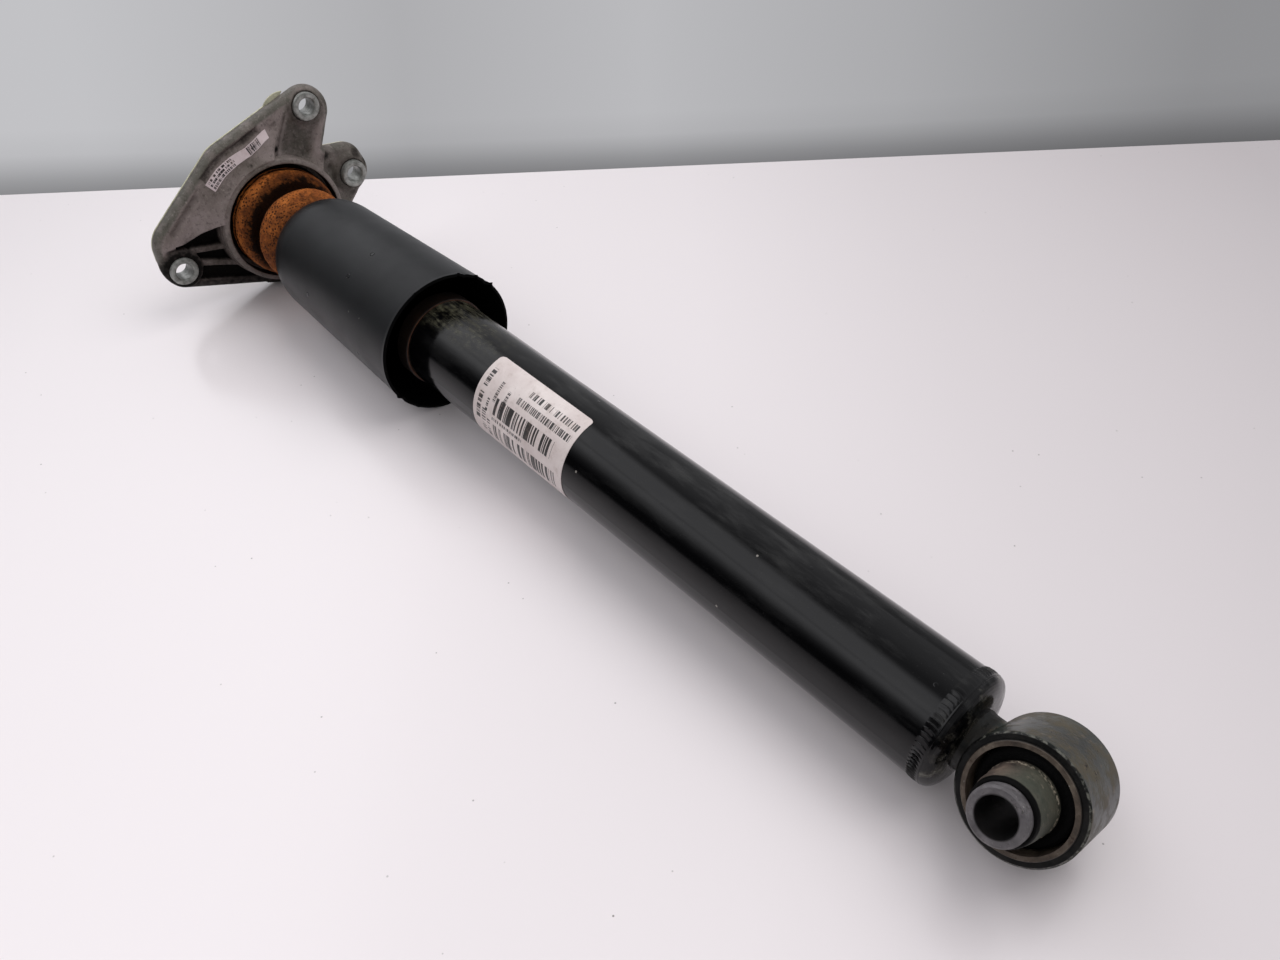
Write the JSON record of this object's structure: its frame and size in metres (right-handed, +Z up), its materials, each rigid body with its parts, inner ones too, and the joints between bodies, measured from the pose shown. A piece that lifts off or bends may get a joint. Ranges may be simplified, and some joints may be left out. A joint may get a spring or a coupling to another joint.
{
  "type": "rear strut assembly",
  "caption": "Twin-tube damper with a rubber-bushed lower eye, a bump stop and dust tube on its rod, and a cast top mount with bolt sleeves.",
  "frame": {"origin": "centre of the lower eye's bore", "axes": "+X along the damper to the top mount, +Z up from the bench that the strut lies on, +Y to the side where the eye's bore leans up"},
  "size_m": [0.6175, 0.1521, 0.1223],
  "materials": {
    "sleeve_steel": "dull zinc-coated steel",
    "bush_rubber": "dusty black rubber",
    "outer_sleeve_steel": "dull steel with brown dirt",
    "eye_steel": "worn black paint with dirt",
    "tube_paint": "gloss black",
    "weld": "black over the weld's ripples",
    "cap_steel": "brown stained steel",
    "label": "printed film",
    "bright_steel": "drawn steel",
    "sintered": "sintered steel",
    "bronze": "bearing bronze",
    "mount_rubber": "black rubber",
    "stop_plastic": "dark plastic",
    "zinc": "yellow zinc",
    "chrome": "hard chrome",
    "bump_foam": "cellular polyurethane, dirty",
    "dust_plastic": "satin dark grey plastic",
    "cast": "die-cast, dull and dirty",
    "bolt_sleeve_steel": "bright zinc",
    "gasket": "yellowish foam",
    "cap_plastic": "black plastic"
  },
  "bodies": {
    "rod_assembly": {"piston_rod": "chrome", "rod_nut": "zinc", "core_washer": "sleeve_steel", "core_sleeve": "sleeve_steel", "bump_plate": "sleeve_steel", "bump_stop": "bump_foam", "retaining_ring": "bright_steel", "piston": "sintered", "piston_band": "stop_plastic", "piston_discs": "bright_steel", "piston_nut": "zinc"},
    "mount_rubber": {"mount_rubber": "mount_rubber"},
    "top_mount": {"mount_housing": "cast", "mount_bolt_sleeves": "bolt_sleeve_steel", "mount_gasket": "gasket", "mount_cap": "cap_plastic", "mount_label": "label"},
    "rebound_stop": {"rebound_stop": "stop_plastic"},
    "damper_body": {"damper_tube": "tube_paint", "tube_base": "tube_paint", "base_weld": "weld", "eye_ring": "eye_steel", "bush_outer_sleeve": "outer_sleeve_steel", "tube_cap": "cap_steel", "tube_label": "label", "inner_cylinder": "bright_steel", "base_valve": "sintered", "base_valve_disc": "bright_steel", "rod_guide": "sintered", "guide_bush": "bronze", "rod_seal": "mount_rubber"},
    "dust_tube": {"dust_tube": "dust_plastic"},
    "bush_rubber": {"bush_rubber": "bush_rubber"},
    "bush_inner_sleeve": {"bush_inner_sleeve": "sleeve_steel"}
  },
  "joints": [
    {"name": "rubber_tilt", "type": "hinge", "parent": "rod_assembly", "child": "mount_rubber", "pos_m": [0.571, 0, 0], "axis": [0, 1, 0], "range_deg": [-3, 3], "stiffness_Nm_per_rad": 150},
    {"name": "mount_tilt", "type": "hinge", "parent": "mount_rubber", "child": "top_mount", "pos_m": [0.571, 0, 0], "axis": [0, 0, 1], "range_deg": [-3, 3], "stiffness_Nm_per_rad": 150},
    {"name": "body_swivel", "type": "hinge", "parent": "rod_assembly", "child": "rebound_stop", "pos_m": [0.338, 0, 0], "axis": [1, 0, 0], "continuous": true},
    {"name": "stroke", "type": "slide", "parent": "rebound_stop", "child": "damper_body", "axis": [1, 0, 0], "range_m": [0, 0.147], "stiffness_N_per_m": 400, "springref_m": -0.4, "deforming": ["bump_stop"]},
    {"name": "dust_tube_ride", "type": "slide", "parent": "rod_assembly", "child": "dust_tube", "axis": [1, 0, 0], "range_m": [0, 0.0285]},
    {"name": "bush_tilt", "type": "hinge", "parent": "damper_body", "child": "bush_rubber", "pos_m": [0, 0, 0], "axis": [0, -0.5, 0.866], "range_deg": [-3, 3], "stiffness_Nm_per_rad": 200},
    {"name": "bush_twist", "type": "hinge", "parent": "bush_rubber", "child": "bush_inner_sleeve", "pos_m": [0, 0, 0], "axis": [0, 0.866, 0.5], "range_deg": [-20, 20], "stiffness_Nm_per_rad": 57}
  ],
  "couplings": [
    {"joint": "dust_tube_ride", "follows": "stroke", "ratio": 0.19048}
  ]
}
